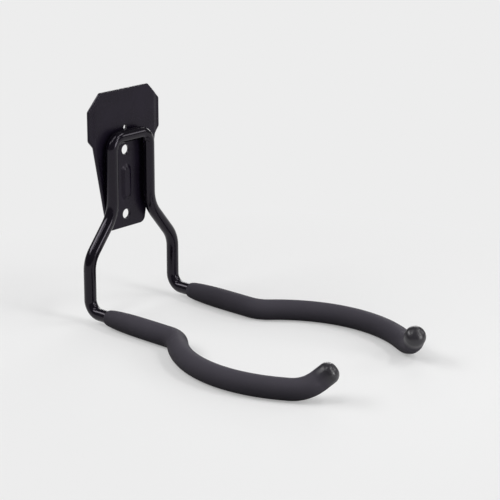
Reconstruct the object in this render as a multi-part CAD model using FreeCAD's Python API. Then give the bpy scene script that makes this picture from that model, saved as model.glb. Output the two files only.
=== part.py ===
"""Garage utility hook: one bent steel rod on a stamped wall plate, with a soft sleeve on each arm.

All sizes are in millimetres and all angles in degrees. The origin lies on the wall, halfway
between the two screw holes. +X is to the right as seen from the room, -Y points into the room
and +Z is up.
"""
import os
from collections import namedtuple
from math import acos, atan, cos, degrees, pi, radians, sin, sqrt, tan

import FreeCAD
import Part

V = FreeCAD.Vector
RIGHT = V(1, 0, 0)
WALL_OUT = V(0, -1, 0)
UP = V(0, 0, 1)

# Stamped wall plate
plate_t = 2.0               # sheet thickness
head_w = 63.4               # width of the head, the wide upper part
head_top_z = 61.8           # top edge above the screw holes' centre
head_side_len = 19.2        # upright side of the head
head_corner_x = 10.3        # upper corner cut, measured along the top edge
head_corner_z = 10.7        # upper corner cut, measured down the side
waist_step_x = 4.1          # lower corner cut, inwards
waist_step_z = 4.7          # lower corner cut, downwards
foot_z = -30.5              # bottom edge; it is as wide as the legs' axes are apart
head_round = 2.0            # corner radius of the head
waist_round = 2.4           # corner radius where the taper starts
foot_round = 4.6            # corner radius of the bottom edge
margin_w = 5.5              # width of the side margins, which lie lower than the head's face
margin_slope_w = 2.7        # width of the slope down to a margin, part of the margin
margin_drop = 0.5           # how much thinner the sheet is in the margins
face_edge_r = 0.9           # rounding of the plate's front edge

# Holes in the plate
screw_hole_d = 6.5
screw_hole_pitch = 43.1     # from the lower screw hole to the upper one
screw_hole_edge = 0.3       # broken edge on the room side of the screw holes
hang_hole_d = 3.2
hang_hole_rise = 4.4        # above the axis of the top bar

# Stiffening rib, pressed out of the plate from behind, midway between the screw holes
rib_hole_gap = 9.55         # from each end of the rib to the centre of its screw hole
rib_base_w = 9.0
rib_top_w = 4.2
rib_h = 1.2
rib_top_round = 0.5

# Rod, as the bends of its right half from the middle of the top bar to the tip.
# Lengths are of the straight stretches and radii are to the rod's axis.
rod_d = 8.0
weld_gap = 0.2              # standoff of the rod from the plate, filled by the welds
bar_z = 32.1                # axis of the top bar
half_bar_len = 8.5
bar_bend_r = 8.0
leg_len = 32.6              # upper leg, on the plate
splay_angle = 38.9          # how far the leg turns outwards below the plate
splay_top_r = 24.8
splay_len = 18.7
splay_foot_r = 19.7
low_leg_len = 19.2
arm_bend_r = 8.6            # bend from the lower leg into the arm
arm_len = 61.6              # straight part of the arm
flare_r = 17.8
flare_angle = 44.4          # how far the arm turns outwards
flare_len = 0.6
sweep_r = 81.3              # the large bow that turns back inwards
sweep_angle = 73.2
sweep_len = 4.2
nose_r = 25.6               # bend that turns the arm up to its tip
nose_angle = 41.8
nose_lean = 15.4            # how far that bend leans inwards from upright
tip_len = 12.8              # straight from that bend to the sleeve's outer end

# Sleeves
sleeve_d = 13.4
sleeve_gap = 7.9            # bare rod between the arm bend and the sleeve
sleeve_lip_d = 9.0          # outer diameter right at the start
sleeve_taper = 32.0         # length over which it grows to the full diameter
sleeve_clearance = 0.05     # around the rod and beyond its end
sleeve_end_wall = 2.7       # closed end, in front of the rod
sleeve_end_round = 5.6      # edge radius of the closed end
sleeve_dome_r = 10.0        # radius of the domed end face

# Welds, flat seams between the rod and the plate
weld_w = 3.0
weld_inset = 3.0            # from each end of the straight stretch that a seam follows
weld_reach = 1.0            # depth of the blank that the rod is cut out of

rod_r = rod_d / 2
sleeve_r = sleeve_d / 2
bore_r = rod_r + sleeve_clearance
rod_y = -(plate_t + weld_gap + rod_r)
leg_x = half_bar_len + bar_bend_r
leg_top_z = bar_z - bar_bend_r
rib_root = plate_t / 4      # how deep the rib's solid reaches into the sheet
past = 1.0                  # overshoot of every cutting tool
same_place = 1e-4           # edges nearer than this to a plane lie on it

Straight = namedtuple("Straight", "start heading length")
Bend = namedtuple("Bend", "start heading centre axis angle")


def turned_by(vector, axis, angle):
    return FreeCAD.Rotation(axis, angle).multVec(vector)


def half_rod():
    """Straights and bends of the rod's right half, in order from the top bar to the tip."""
    nose_tilt = radians(nose_lean)
    steps = [
        ("straight", half_bar_len), ("bend", bar_bend_r, 90, lambda ahead: -UP),
        ("straight", leg_len), ("bend", splay_top_r, splay_angle, lambda ahead: RIGHT),
        ("straight", splay_len), ("bend", splay_foot_r, splay_angle, lambda ahead: -UP),
        ("straight", low_leg_len), ("bend", arm_bend_r, 90, lambda ahead: WALL_OUT),
        ("straight", arm_len), ("bend", flare_r, flare_angle, lambda ahead: RIGHT),
        ("straight", flare_len), ("bend", sweep_r, sweep_angle, lambda ahead: -RIGHT),
        ("straight", sweep_len),
        ("bend", nose_r, nose_angle,
         lambda ahead: UP * cos(nose_tilt) + ahead.cross(UP) * sin(nose_tilt)),
        ("straight", tip_len),
    ]
    here, ahead = V(0, rod_y, bar_z), RIGHT
    route = []
    for kind, size, *turn in steps:
        if kind == "straight":
            route.append(Straight(here, ahead, size))
            here = here + ahead * size
            continue
        angle, towards = turn
        side = towards(ahead)
        side = (side - ahead * side.dot(ahead)).normalize()
        axis = ahead.cross(side)
        centre = here + side * size
        route.append(Bend(here, ahead, centre, axis, angle))
        here = centre + turned_by(here - centre, axis, angle)
        ahead = turned_by(ahead, axis, angle)
    return route


route = half_rod()
bare_steps = 8              # straights and bends before the straight part of the arm
arm_route = route[bare_steps:]
sleeve_start = arm_route[0].start + WALL_OUT * sleeve_gap


def bar(step, radius):
    """Solid round bar over one straight or bend of the route."""
    if isinstance(step, Straight):
        return Part.makeCylinder(radius, step.length, step.start, step.heading)
    section = Part.Face(Part.Wire(Part.makeCircle(radius, step.start, step.heading)))
    return section.revolve(step.centre, step.axis, step.angle)


def longer(straight, before, after):
    """The same straight with its start and its end moved outwards along it."""
    return Straight(straight.start - straight.heading * before, straight.heading,
                    straight.length + before + after)


def fused(pieces):
    return pieces[0].multiFuse(pieces[1:]).removeSplitter()


def turned(profile_edges, base, direction):
    """Solid of revolution: the profile is drawn with X as radius and Z along the axis."""
    face = Part.Face(Part.Wire(profile_edges))
    solid = Part.makeSolid(face.revolve(V(0, 0, 0), UP, 360).Shells[0])
    solid.Placement = FreeCAD.Placement(base, FreeCAD.Rotation(UP, direction))
    return solid


def line(start, end):
    return Part.makeLine(start, end)


def round_corner(before, corner, after, radius):
    """Start, middle and end of the arc that rounds a corner."""
    back = (before - corner).normalize()
    ahead = (after - corner).normalize()
    inner = acos(back.dot(ahead))
    tangent = radius * tan((pi - inner) / 2)
    middle_ray = (back + ahead).normalize()
    middle = corner + middle_ray * (radius / sin(inner / 2) - radius)
    return corner + back * tangent, middle, corner + ahead * tangent


def rounded_outline(points, radii):
    """Closed wire in the XZ plane through rounded corners."""
    count = len(points)
    arcs = [round_corner(points[i - 1], points[i], points[(i + 1) % count], radii[i])
            for i in range(count)]
    edges = []
    for i, (start, middle, end) in enumerate(arcs):
        edges.append(line(arcs[i - 1][2], start))
        edges.append(Part.Arc(start, middle, end).toShape())
    return Part.Wire(Part.__sortEdges__(edges))


def plate_blank():
    """Tapered plate outline with the side margins set back from the front face."""
    half = head_w / 2
    side_top_z = head_top_z - head_corner_z
    side_foot_z = side_top_z - head_side_len
    right = [(leg_x, foot_z, foot_round),
             (half - waist_step_x, side_foot_z - waist_step_z, waist_round),
             (half, side_foot_z, waist_round),
             (half, side_top_z, head_round),
             (half - head_corner_x, head_top_z, head_round)]
    left = [(-x, z, r) for x, z, r in reversed(right)]
    corners = right + left
    outline = rounded_outline([V(x, past, z) for x, z, _ in corners], [r for _, _, r in corners])
    prism = Part.Face(outline).extrude(WALL_OUT * (plate_t + 2 * past))

    crease = half - margin_w
    land = crease + margin_slope_w
    land_y = -(plate_t - margin_drop)
    outside = half + past
    section = [V(-outside, 0, 0), V(outside, 0, 0),
               V(outside, land_y, 0), V(land, land_y, 0), V(crease, -plate_t, 0),
               V(-crease, -plate_t, 0), V(-land, land_y, 0), V(-outside, land_y, 0)]
    slab = Part.Face(Part.makePolygon(section + section[:1]))
    slab.translate(V(0, 0, foot_z - past))
    slab = slab.extrude(UP * (head_top_z - foot_z + 2 * past))
    return slab.common(prism).removeSplitter()


def rounded_face_edges(plate):
    """Round the plate's outer edge on the room side."""
    half_depth = (plate_t - margin_drop) / 2
    edges = []
    for edge in plate.Edges:
        faces = plate.ancestorsOfType(edge, Part.Face)
        walls = [f for f in faces if abs(f.normalAt(*middle_uv(f)).y) < 0.5]
        if len(walls) == 1 and edge.BoundBox.YMax < -half_depth:
            edges.append(edge)
    return plate.makeFillet(face_edge_r, edges)


def middle_uv(face):
    u0, u1, v0, v1 = face.ParameterRange
    return (u0 + u1) / 2, (v0 + v1) / 2


def rib_shape(base_y, sink):
    """Long low rib with sloping flanks and round ends, standing on the plane y = base_y.

    sink carries the flanks on below that plane, so the same shape also cuts the hollow behind."""
    spread = (rib_base_w - rib_top_w) / 2 / rib_h
    base_r = rib_base_w / 2 + sink * spread
    top_r = rib_top_w / 2
    height = rib_h + sink
    start_y = base_y + sink
    half_run = screw_hole_pitch / 2 - rib_hole_gap - rib_base_w / 2
    ends = [Part.makeCone(base_r, top_r, height, V(0, start_y, side * half_run), WALL_OUT)
            for side in (-1, 1)]
    flank = [V(-base_r, start_y, -half_run), V(base_r, start_y, -half_run),
             V(top_r, start_y - height, -half_run), V(-top_r, start_y - height, -half_run)]
    body = Part.Face(Part.makePolygon(flank + flank[:1])).extrude(UP * (2 * half_run))
    return fused([body] + ends)


def round_rib_top(rib, top_y):
    boxes = [(edge, edge.BoundBox) for edge in rib.Edges]
    rim = [edge for edge, box in boxes if max(abs(box.YMin - top_y), abs(box.YMax - top_y)) < same_place]
    return rib.makeFillet(rib_top_round, rim)


def build_backplate():
    plate = rounded_face_edges(plate_blank())
    rib = round_rib_top(rib_shape(-plate_t, rib_root), -plate_t - rib_h)
    plate = plate.fuse(rib)
    plate = plate.cut(rib_shape(0.0, past))
    drill_start = V(0, past, 0)
    depth = plate_t + 2 * past
    for z in (-screw_hole_pitch / 2, screw_hole_pitch / 2):
        plate = plate.cut(Part.makeCylinder(screw_hole_d / 2, depth, drill_start + UP * z, WALL_OUT))
        rim_r = screw_hole_d / 2 + screw_hole_edge + past
        cone = Part.makeCone(screw_hole_d / 2, rim_r, screw_hole_edge + past,
                             V(0, -plate_t + screw_hole_edge, z), WALL_OUT)
        plate = plate.cut(cone)
    hang_start = drill_start + UP * (bar_z + hang_hole_rise)
    plate = plate.cut(Part.makeCylinder(hang_hole_d / 2, depth, hang_start, WALL_OUT))
    return plate.removeSplitter()


def build_hook_rod():
    tip = longer(route[-1], 0, -(sleeve_end_wall + sleeve_clearance))
    right = fused([bar(step, rod_r) for step in route[1:-1] + [tip]])
    left = right.mirror(V(0, 0, 0), RIGHT)
    top_bar = Part.makeCylinder(rod_r, 2 * half_bar_len, V(-half_bar_len, rod_y, bar_z), RIGHT)
    return fused([left, top_bar, right])


def taper_profile(length):
    """Sleeve start: a short shoulder that grows along a quarter ellipse to the full radius."""
    lip = sleeve_lip_d / 2
    centre = V(lip, 0, sleeve_taper)
    ellipse = Part.Ellipse(centre + UP * sleeve_taper, V(sleeve_r, 0, sleeve_taper), centre)
    shoulder = Part.ArcOfEllipse(ellipse, pi / 2, pi).toShape()
    return [line(V(0, 0, 0), V(lip, 0, 0)), shoulder,
            line(V(sleeve_r, 0, sleeve_taper), V(sleeve_r, 0, length)),
            line(V(sleeve_r, 0, length), V(0, 0, length)), line(V(0, 0, length), V(0, 0, 0))]


def end_profile(length):
    """Closed end: round edge running into a domed face; length is to the dome's middle."""
    dome_z = length - sleeve_dome_r
    ring_x = sleeve_r - sleeve_end_round
    ring_z = dome_z + sqrt((sleeve_dome_r - sleeve_end_round) ** 2 - ring_x ** 2)
    tilt = atan(ring_x / (ring_z - dome_z))
    meet = V(ring_x + sleeve_end_round * sin(tilt), 0, ring_z + sleeve_end_round * cos(tilt))
    half_way = (pi / 2 + tilt) / 2
    edge_mid = V(ring_x + sleeve_end_round * sin(half_way), 0,
                 ring_z + sleeve_end_round * cos(half_way))
    dome_mid = V(sleeve_dome_r * sin(tilt / 2), 0, dome_z + sleeve_dome_r * cos(tilt / 2))
    return [line(V(0, 0, 0), V(sleeve_r, 0, 0)), line(V(sleeve_r, 0, 0), V(sleeve_r, 0, ring_z)),
            Part.Arc(V(sleeve_r, 0, ring_z), edge_mid, meet).toShape(),
            Part.Arc(meet, dome_mid, V(0, 0, length)).toShape(), line(V(0, 0, length), V(0, 0, 0))]


def build_right_sleeve():
    """Cover over the arm, from the bare rod behind it to its closed end, bored for the rod."""
    straight, *bends, tip = arm_route
    body = [turned(taper_profile(straight.length - sleeve_gap), sleeve_start, WALL_OUT)]
    body += [bar(step, sleeve_r) for step in bends]
    body.append(turned(end_profile(tip.length), tip.start, tip.heading))
    bore = [longer(straight, past - sleeve_gap, 0)] + bends + [longer(tip, 0, -sleeve_end_wall)]
    return fused(body).cut(fused([bar(step, bore_r) for step in bore]))


def weld_seam(centre, size_x, size_z, rod):
    """Seam that fills the space between the rod and the plate over a short length."""
    corner = V(centre.x - size_x / 2, -plate_t - weld_reach, centre.z - size_z / 2)
    return Part.makeBox(size_x, weld_reach, size_z, corner).cut(rod)


def build():
    rod = build_hook_rod()
    right = build_right_sleeve()
    left = right.mirror(V(0, 0, 0), RIGHT)
    leg_seam_len = leg_len - 2 * weld_inset
    bar_seam_len = 2 * (half_bar_len - weld_inset)
    leg_middle_z = leg_top_z - leg_len / 2
    return {
        "backplate": build_backplate(),
        "hook_rod": rod,
        "left_sleeve": left,
        "right_sleeve": right,
        "left_weld": weld_seam(V(-leg_x, 0, leg_middle_z), weld_w, leg_seam_len, rod),
        "right_weld": weld_seam(V(leg_x, 0, leg_middle_z), weld_w, leg_seam_len, rod),
        "bar_weld": weld_seam(V(0, 0, bar_z), bar_seam_len, weld_w, rod),
    }


os.makedirs("parts", exist_ok=True)
for name, shape in build().items():
    solids = shape.Solids
    assert len(solids) == 1 and solids[0].isValid(), name
    solids[0].exportStep("parts/%s.step" % name)
    box = solids[0].BoundBox
    extent = (box.XMin, box.XMax, box.YMin, box.YMax, box.ZMin, box.ZMax)
    print("%-13s %9.1f mm3  faces %d" % (name, solids[0].Volume, len(solids[0].Faces)),
          " x %.1f..%.1f  y %.1f..%.1f  z %.1f..%.1f" % extent)
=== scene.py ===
from math import cos, pi, radians, sin

import bpy
from mathutils import Matrix, Vector


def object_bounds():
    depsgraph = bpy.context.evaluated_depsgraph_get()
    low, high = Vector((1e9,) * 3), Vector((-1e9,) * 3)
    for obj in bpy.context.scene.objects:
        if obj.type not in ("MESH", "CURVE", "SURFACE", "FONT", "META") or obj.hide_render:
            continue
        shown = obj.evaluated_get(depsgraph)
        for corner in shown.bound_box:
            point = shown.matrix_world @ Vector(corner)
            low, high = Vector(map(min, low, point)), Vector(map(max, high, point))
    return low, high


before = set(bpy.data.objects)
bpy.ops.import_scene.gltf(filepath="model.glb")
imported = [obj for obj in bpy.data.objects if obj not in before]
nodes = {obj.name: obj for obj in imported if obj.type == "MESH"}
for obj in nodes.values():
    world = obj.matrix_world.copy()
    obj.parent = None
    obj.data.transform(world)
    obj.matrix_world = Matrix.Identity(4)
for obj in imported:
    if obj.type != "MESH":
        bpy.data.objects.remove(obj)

cad_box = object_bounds()
MIDDLE = (cad_box[0] + cad_box[1]) / 2
scene = bpy.context.scene

# Camera: the photograph's viewing angle, found by fitting the part's outline
CAM_AZIMUTH = radians(-48.38)
CAM_ELEVATION = radians(17.25)
CAM_ROLL = radians(0.21)
FOCAL_PX = 1800.0
FRAME_PX = 500.0
SENSOR_MM = 36.0
PIVOT = Vector((0.0, 0.0, -0.0789))    # the point that the offsets below are counted from
OFFSET = (-0.08225, 0.03058, 1.1953)   # of that point: right, down and away from the camera
SIGHT = 40.0                           # how far the camera sees, which is past the floor's edge

# Floor and the light from all round
FLOOR_HALF = 15.0            # half the floor's side; its edge is too far off to show
FLOOR_GREY = 0.86            # of the paper near the part, where it shows the shadow
FLOOR_DIM = 0.995            # share of that grey in the paper's darker patches
FLOOR_ROUGH = 0.9
BACKDROP = 0.847             # even level of the paper further out
SHADOW_ROOM = (0.05, 0.19)   # distance from the part over which the one turns into the other
SHADOW_LIFT = 0.38           # share of the even level that lightens the shadow close to the part
SKY = 0.18                   # strength of the light from all round

# Softboxes: azimuth and elevation in degrees, distance, width and height in metres, radiance
SOFTBOXES = {
    "overhead": (-88, 66, 1.2, 0.26, 0.8, 4.1),
    "left": (-136, 40, 1.1, 0.88, 0.32, 6.2),
    "right_back": (124, 12, 1.1, 0.6, 0.26, 4.4),
    "right_high": (118, 37, 1.1, 0.3, 0.3, 2.2),
    "front_top": (36, 57, 1.2, 0.8, 0.15, 7.7),
    "front_mid": (10, 36, 1.0, 0.3, 0.2, 7.0),
    "front_strip": (10, 12, 0.85, 0.26, 0.32, 7.8),
    "right_strip": (54, 24, 0.85, 0.3, 0.22, 3.6),
}

# Noise: its scale in each material, the larger the finer, and the values that it is read between
COAT_CLOUD = 45.0
COAT_PEEL = 900.0
COAT_GRAIN = 2600.0
SLEEVE_CLOUD = 30.0
SLEEVE_SPECK = 420.0
SLEEVE_GRAIN = 1800.0
FLOOR_CLOUD = 6.0
NOISE_SPAN = (0.3, 0.7)      # nearly all of a noise lies between these
TONE_SPAN = (0.35, 0.7)      # the same for the coat's tone, with a little more of the dark one
BUMP_DEPTH = 0.0002          # in metres

# Black of the whole part, which leans slightly to violet
LESS_GREEN = 0.28            # than red, as a share
MORE_BLUE = 0.5              # than red, as a share
COOL_GLOSS = (0.94, 0.87, 1.0, 1.0)   # tint of the highlights

# Coated steel
PEEL_GRAIN = 0.3             # height of the coat's grain beside its orange peel
GRAIN_ROUGH = 0.02           # how far the grain moves the roughness each way

# Sleeves
SLEEVE_DIAMETER = 0.0134
SLEEVE_LOW_Z = cad_box[0].z
PAINTED_SHADE_UNDERSIDE = 0.002            # painted shade: tone of the lowest line
PAINTED_LIGHT_TOP = 0.07            # painted light: tone of the top
TIP_TONE = 0.006             # tone of the closed end
SIDE_LEAN = 0.5              # towards violet, of the underside and the closed end
UPPER_LEAN = 0.25            # towards violet, of the top
PAINTED_SHADE_SHARE = 0.9           # of the tone that comes from the height, as painted shade towards the underside
CLOUD_SHARE = 0.1            # of the tone that comes from the cloudy noise
SLEEVE_ROUGH = (0.6, 0.7)
SPECK_ROUGH = 0.04           # how far the specks move the roughness each way
SPECK_HEIGHT = 0.5           # height of the specks beside the grain
SLEEVE_BUMP = 0.12
SLEEVE_SHINE = 0.05
CAP_ROUGH = 0.32             # roughness of the glossier cap on the closed end
TIP_END = Vector((0.0384, -0.2104, -0.0643))   # right sleeve's outer end
TIP_AXIS = Vector((-0.514, -0.568, 0.643))     # direction in which that end points
TIP_FADE = (0.013, 0.0052)   # distance from the end over which its darker tone comes in
TIP_SHARE = 0.8              # how much of that tone there is in the end
CAP_FADE = (0.011, 0.0033)   # distance from the end over which the cap's gloss comes in


def direction(azimuth, elevation):
    """Unit vector from the part, with the azimuth counted from the room side."""
    return Vector((sin(azimuth) * cos(elevation), -cos(azimuth) * cos(elevation), sin(elevation)))


def make_camera():
    """Camera at the photograph's place, with its lens and its slight roll."""
    back = direction(CAM_AZIMUTH, CAM_ELEVATION)
    level = Vector((cos(CAM_AZIMUTH), sin(CAM_AZIMUTH), 0))
    below = level.cross(back)
    right = level * cos(CAM_ROLL) - below * sin(CAM_ROLL)
    down = level * sin(CAM_ROLL) + below * cos(CAM_ROLL)
    place = PIVOT - right * OFFSET[0] - down * OFFSET[1] + back * OFFSET[2]
    lens = bpy.data.cameras.new("camera")
    lens.sensor_width = SENSOR_MM
    lens.lens = FOCAL_PX / FRAME_PX * SENSOR_MM
    lens.clip_end = SIGHT
    camera = bpy.data.objects.new("camera", lens)
    scene.collection.objects.link(camera)
    turn = Matrix((right, -down, back)).transposed()
    camera.matrix_world = Matrix.Translation(place) @ turn.to_4x4()
    scene.camera = camera


class Graph:
    """Small helper for a material's nodes."""

    def __init__(self, name):
        self.material = bpy.data.materials.new(name)
        self.material.use_nodes = True
        self.tree = self.material.node_tree
        self.tree.nodes.clear()
        self.out = self.add("ShaderNodeOutputMaterial")

    def feed(self, socket, value):
        """Links another node's socket to this one, or sets it to a plain value."""
        if isinstance(value, bpy.types.NodeSocket):
            self.tree.links.new(value, socket)
        else:
            socket.default_value = value

    def add(self, kind, *values, **named):
        """Adds a node and feeds its first sockets in order and others by name."""
        node = self.tree.nodes.new(kind)
        for socket, value in zip(node.inputs, values):
            self.feed(socket, value)
        for name, value in named.items():
            self.feed(node.inputs[name.replace("_", " ")], value)
        return node

    def math(self, operation, *values):
        node = self.add("ShaderNodeMath", *values)
        node.operation = operation
        return node.outputs[0]

    def vector_math(self, operation, first, second):
        node = self.add("ShaderNodeVectorMath", first, second)
        node.operation = operation
        return node.outputs["Value"]

    def ramp(self, value, span, result):
        """Maps the span onto the result, and holds the result's ends beyond it."""
        node = self.add("ShaderNodeMapRange", Value=value, From_Min=span[0], From_Max=span[1],
                        To_Min=result[0], To_Max=result[1])
        return node.outputs[0]

    def noise(self, place, scale, detail=2.0):
        return self.add("ShaderNodeTexNoise", Vector=place, Scale=scale, Detail=detail).outputs[0]

    def place(self):
        return self.add("ShaderNodeTexCoord").outputs["Object"]

    def mix(self, factor, first, second):
        node = self.add("ShaderNodeMix")
        node.data_type = "RGBA"
        colours = [socket for socket in node.inputs if socket.type == "RGBA"]
        for socket, value in zip([node.inputs["Factor"]] + colours, (factor, first, second)):
            self.feed(socket, value)
        return [socket for socket in node.outputs if socket.type == "RGBA"][0]

    def bump(self, height, strength):
        return self.add("ShaderNodeBump", Strength=strength, Distance=BUMP_DEPTH, Height=height).outputs[0]

    def finish(self, **named):
        shader = self.add("ShaderNodeBsdfPrincipled", **named)
        self.tree.links.new(shader.outputs[0], self.out.inputs[0])
        return self.material


def grey(level):
    return (level, level, level, 1.0)


def violet_black(level, lean=1.0):
    """The part's black at a level of red, with a share of its lean to violet."""
    return (level, level * (1 - LESS_GREEN * lean), level * (1 + MORE_BLUE * lean), 1.0)


def coated_steel(name, tones, rough, peel, shine):
    """Black coat on steel: fine orange peel, slightly uneven gloss and tone."""
    graph = Graph(name)
    place = graph.place()
    cloud = graph.noise(place, COAT_CLOUD, detail=3.0)
    fine = graph.noise(place, COAT_PEEL)
    grain = graph.noise(place, COAT_GRAIN, detail=1.0)
    colour = graph.mix(graph.ramp(cloud, TONE_SPAN, (0.0, 1.0)),
                       violet_black(tones[0]), violet_black(tones[1]))
    roughness = graph.math("ADD", graph.ramp(cloud, NOISE_SPAN, rough),
                           graph.ramp(grain, NOISE_SPAN, (-GRAIN_ROUGH, GRAIN_ROUGH)))
    height = graph.math("ADD", fine, graph.math("MULTIPLY", grain, PEEL_GRAIN))
    return graph.finish(Base_Color=colour, Roughness=roughness, Specular_IOR_Level=shine,
                        Specular_Tint=COOL_GLOSS, Normal=graph.bump(height, peel))


def distance_to_tip(graph, split):
    """How far a point, split into X, Y and Z, lies from its sleeve's closed end, along that end."""
    outward = graph.math("ABSOLUTE", split["X"])
    folded = graph.add("ShaderNodeCombineXYZ", X=outward, Y=split["Y"], Z=split["Z"])
    along = graph.vector_math("DOT_PRODUCT", folded.outputs[0], TIP_AXIS)
    return graph.math("SUBTRACT", TIP_END.dot(TIP_AXIS), along)


def soft_sleeve(name):
    """Matt grey-black grip: fine grain, painted shade that darkens it towards the underside, and a darker,
    glossier closed end.
    """
    graph = Graph(name)
    place = graph.place()
    split = graph.add("ShaderNodeSeparateXYZ", Vector=place).outputs
    cloud = graph.noise(place, SLEEVE_CLOUD, detail=3.0)
    speck = graph.noise(place, SLEEVE_SPECK)
    grain = graph.noise(place, SLEEVE_GRAIN, detail=3.0)
    # Painted shade: the tone runs from a lighter top down to a darker underside, by height alone.
    painted_shade_by_height = graph.ramp(split["Z"], (SLEEVE_LOW_Z, SLEEVE_LOW_Z + SLEEVE_DIAMETER), (0.0, PAINTED_SHADE_SHARE))
    shade = graph.math("ADD", painted_shade_by_height, graph.ramp(cloud, NOISE_SPAN, (0.0, CLOUD_SHARE)))
    to_tip = distance_to_tip(graph, split)
    tip = graph.ramp(to_tip, TIP_FADE, (0.0, TIP_SHARE))
    cap = graph.ramp(to_tip, CAP_FADE, (0.0, 1.0))
    grip = graph.mix(shade, violet_black(PAINTED_SHADE_UNDERSIDE, SIDE_LEAN), violet_black(PAINTED_LIGHT_TOP, UPPER_LEAN))
    colour = graph.mix(tip, grip, violet_black(TIP_TONE, SIDE_LEAN))
    roughness = graph.math("ADD", graph.ramp(cloud, NOISE_SPAN, SLEEVE_ROUGH),
                           graph.ramp(speck, NOISE_SPAN, (-SPECK_ROUGH, SPECK_ROUGH)))
    height = graph.math("ADD", grain, graph.math("MULTIPLY", speck, SPECK_HEIGHT))
    return graph.finish(Base_Color=colour, Roughness=roughness, Specular_IOR_Level=SLEEVE_SHINE,
                        Specular_Tint=COOL_GLOSS, Coat_Weight=cap, Coat_Roughness=CAP_ROUGH,
                        Normal=graph.bump(height, SLEEVE_BUMP))


def paint(material, *names):
    for name in names:
        mesh = nodes[name].data
        mesh.materials.clear()
        mesh.materials.append(material)


def softbox(name, azimuth, elevation, distance, width, height, radiance):
    """Rectangular lamp that faces the part; its width stays level."""
    light = bpy.data.lights.new(name, "AREA")
    light.shape = "RECTANGLE"
    light.size = width
    light.size_y = height
    light.energy = radiance * pi * width * height
    lamp = bpy.data.objects.new(name, light)
    scene.collection.objects.link(lamp)
    out = direction(radians(azimuth), radians(elevation))
    lamp.location = MIDDLE + out * distance
    lamp.rotation_euler = out.to_track_quat("Z", "Y").to_euler()


def floor_paper(height):
    """Plain pale paper. Camera and mirror rays see an even level in its place: wholly so away from
    the part, and by a share close to it, where the paper shows the shadow."""
    graph = Graph("floor_paper")
    place = graph.place()
    patch = graph.ramp(graph.noise(place, FLOOR_CLOUD), NOISE_SPAN, (0.0, 1.0))
    colour = graph.mix(patch, grey(FLOOR_GREY * FLOOR_DIM), grey(FLOOR_GREY))
    paper = graph.add("ShaderNodeBsdfPrincipled", Base_Color=colour, Roughness=FLOOR_ROUGH,
                      Specular_IOR_Level=0.0)
    even = graph.add("ShaderNodeEmission", Color=grey(BACKDROP))
    away = graph.vector_math("DISTANCE", place, (MIDDLE.x, MIDDLE.y, height))
    reach = (cad_box[1] - cad_box[0]).y / 2
    far = graph.ramp(away, (reach + SHADOW_ROOM[0], reach + SHADOW_ROOM[1]), (SHADOW_LIFT, 1.0))
    ray = graph.add("ShaderNodeLightPath").outputs
    mirrored = graph.math("MAXIMUM", ray["Is Glossy Ray"], ray["Is Transmission Ray"])
    seen = graph.math("MAXIMUM", ray["Is Camera Ray"], mirrored)
    share = graph.math("MULTIPLY", far, seen)
    both = graph.add("ShaderNodeMixShader", share, paper.outputs[0], even.outputs[0])
    graph.tree.links.new(both.outputs[0], graph.out.inputs[0])
    return graph.material


def make_floor(height):
    mesh = bpy.data.meshes.new("floor")
    corners = ((-1, -1), (1, -1), (1, 1), (-1, 1))
    mesh.from_pydata([(x * FLOOR_HALF, y * FLOOR_HALF, height) for x, y in corners], [], [(0, 1, 2, 3)])
    mesh.materials.append(floor_paper(height))
    floor = bpy.data.objects.new("floor", mesh)
    scene.collection.objects.link(floor)


def make_world():
    world = bpy.data.worlds.new("world")
    world.use_nodes = True
    scene.world = world
    sky = world.node_tree.nodes["Background"]
    sky.inputs["Color"].default_value = grey(1.0)
    sky.inputs["Strength"].default_value = SKY


scene.view_settings.view_transform = "Standard"
make_camera()
make_world()
make_floor(cad_box[0].z)
for name, values in SOFTBOXES.items():
    softbox(name, *values)

plate_coat = coated_steel("plate_coat", tones=(0.006, 0.009), rough=(0.24, 0.32), peel=0.25, shine=0.21)
rod_coat = coated_steel("rod_coat", tones=(0.003, 0.005), rough=(0.1, 0.14), peel=0.08, shine=0.31)
paint(plate_coat, "backplate")
paint(rod_coat, "hook_rod", "left_weld", "right_weld", "bar_weld")
paint(soft_sleeve("sleeve_grip"), "left_sleeve", "right_sleeve")
